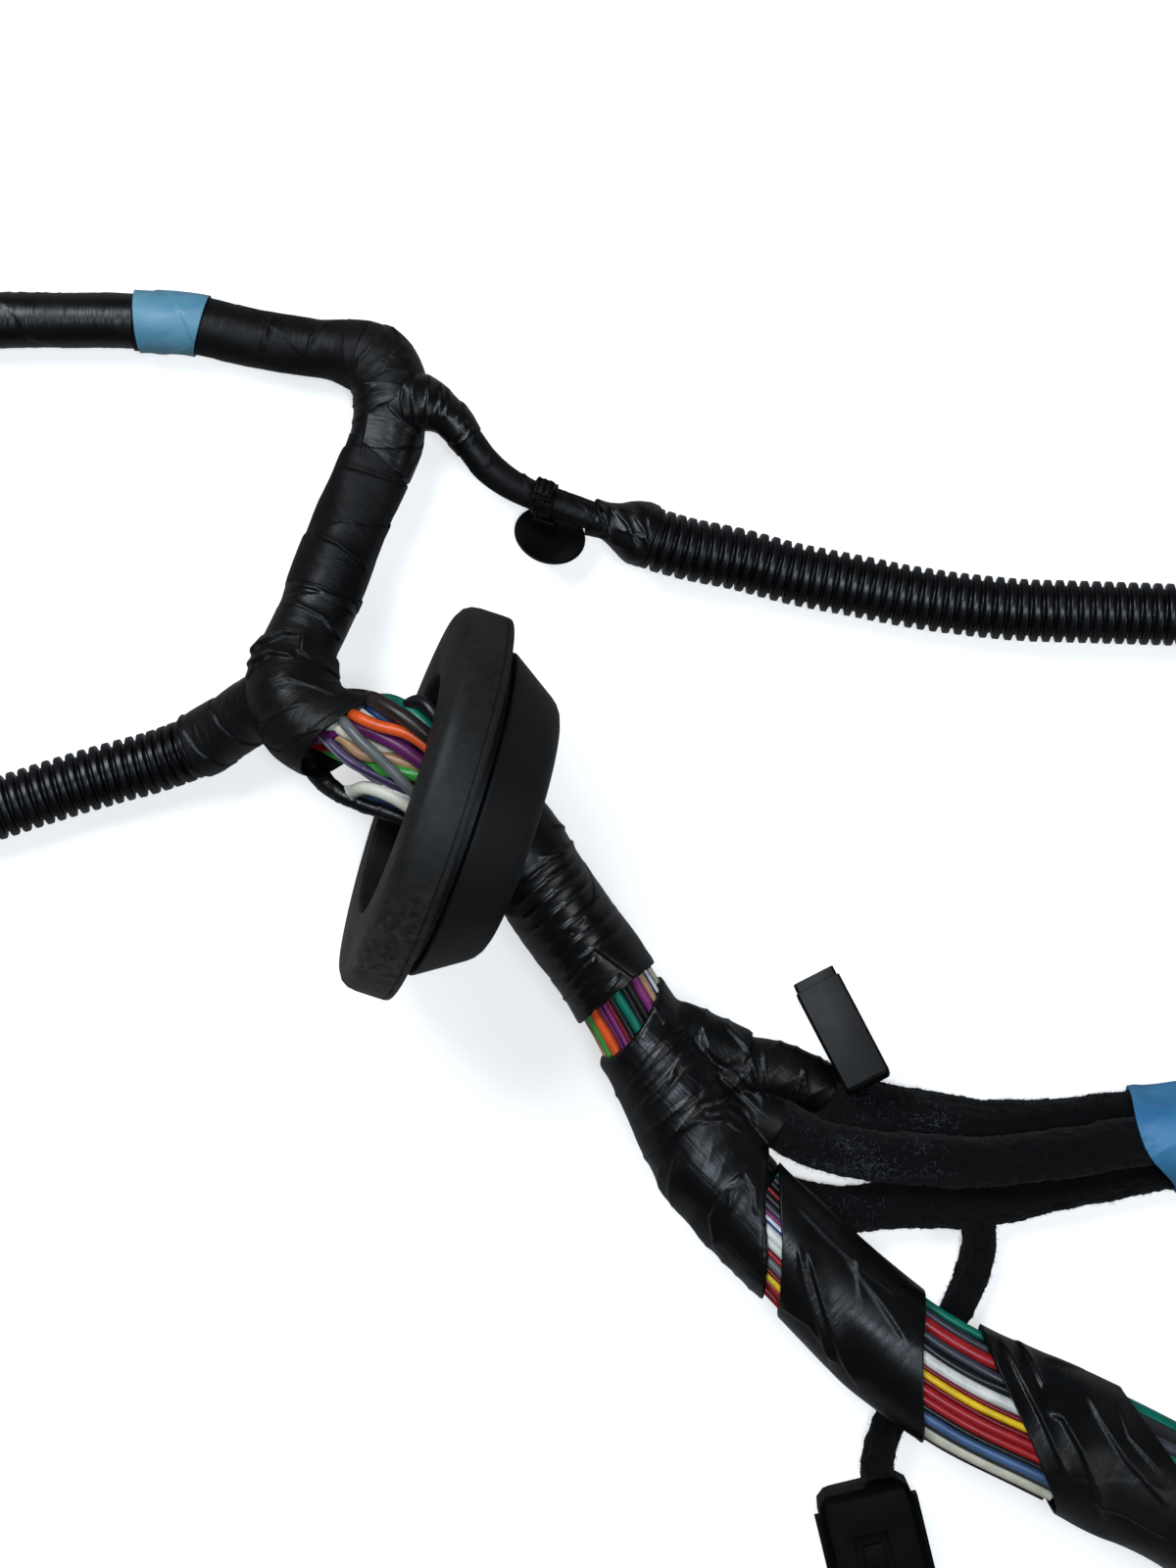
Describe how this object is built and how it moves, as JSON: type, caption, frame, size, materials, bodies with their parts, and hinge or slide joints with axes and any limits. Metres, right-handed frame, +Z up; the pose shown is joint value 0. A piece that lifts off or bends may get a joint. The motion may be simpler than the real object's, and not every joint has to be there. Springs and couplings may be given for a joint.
{
  "type": "wiring harness",
  "caption": "Taped wiring harness with convoluted conduits, fleece-wrapped branches, open coloured wires through a round bulkhead rubber grommet, an umbrella clip and plug housings",
  "frame": {"origin": "middle of the footprint, on the surface that the harness lies on", "axes": "+Z up off the surface, +X to the right of the picture along the longest extent, +Y to the top of the picture"},
  "size_m": [0.3742, 0.3416, 0.0964],
  "materials": {
    "gloss_tape": "glossy, wrinkled",
    "matte_tape": "matte",
    "pale_blue_tape": "satin",
    "deep_blue_tape": "satin",
    "conduit_plastic": "semi-gloss, ribbed",
    "housing_plastic": "fine-grained",
    "grommet_rubber": "satin, a little dusty",
    "fleece": "fuzzy",
    "bundle": "satin",
    "wire_teal": "satin",
    "wire_brown": "satin",
    "wire_white": "satin",
    "wire_blue": "satin",
    "wire_orange": "satin",
    "wire_purple": "satin",
    "wire_cream": "satin",
    "wire_tan": "satin",
    "wire_light_green": "satin",
    "wire_violet": "satin",
    "wire_white_blue": "satin",
    "wire_pale_cream": "satin",
    "wire_red": "satin",
    "wire_grey_cross": "satin",
    "wire_blue_grey": "satin"
  },
  "bodies": {
    "root": {"upper_branch": "gloss_tape", "upper_blue_band": "pale_blue_tape", "elbow_wrap": "matte_tape", "upper_trunk": "matte_tape", "left_branch_tape": "gloss_tape", "left_conduit": "conduit_plastic", "side_branch": "gloss_tape", "conduit_end_sleeve": "matte_tape", "right_conduit": "conduit_plastic", "cable_tie": "housing_plastic", "umbrella_clip": "housing_plastic", "grommet": "grommet_rubber", "wire_teal": "wire_teal", "wire_brown": "wire_brown", "wire_white": "wire_white", "wire_blue": "wire_blue", "wire_orange": "wire_orange", "wire_purple": "wire_purple", "wire_cream": "wire_cream", "wire_tan": "wire_tan", "wire_light_green": "wire_light_green", "wire_violet": "wire_violet", "wire_white_blue": "wire_white_blue", "wire_pale_cream": "wire_pale_cream", "wire_red": "wire_red", "wire_grey_cross": "wire_grey_cross", "taped_strand": "gloss_tape", "bundle_core": "bundle", "neck_wrap": "gloss_tape", "junction_wrap": "gloss_tape", "window_band": "gloss_tape", "lower_wrap": "gloss_tape", "fleece_top": "fleece", "fleece_middle": "fleece", "fleece_bottom": "fleece", "drop_branch": "fleece", "fleece_blue_wrap": "deep_blue_tape", "upper_branch_plug": "housing_plastic", "left_conduit_plug": "housing_plastic", "right_conduit_plug": "housing_plastic", "fleece_plug": "housing_plastic", "trunk_plug": "housing_plastic", "drop_connector": "housing_plastic", "block_connector": "housing_plastic", "block_wire_1": "wire_blue_grey", "block_wire_2": "wire_blue_grey"}
  },
  "joints": []
}
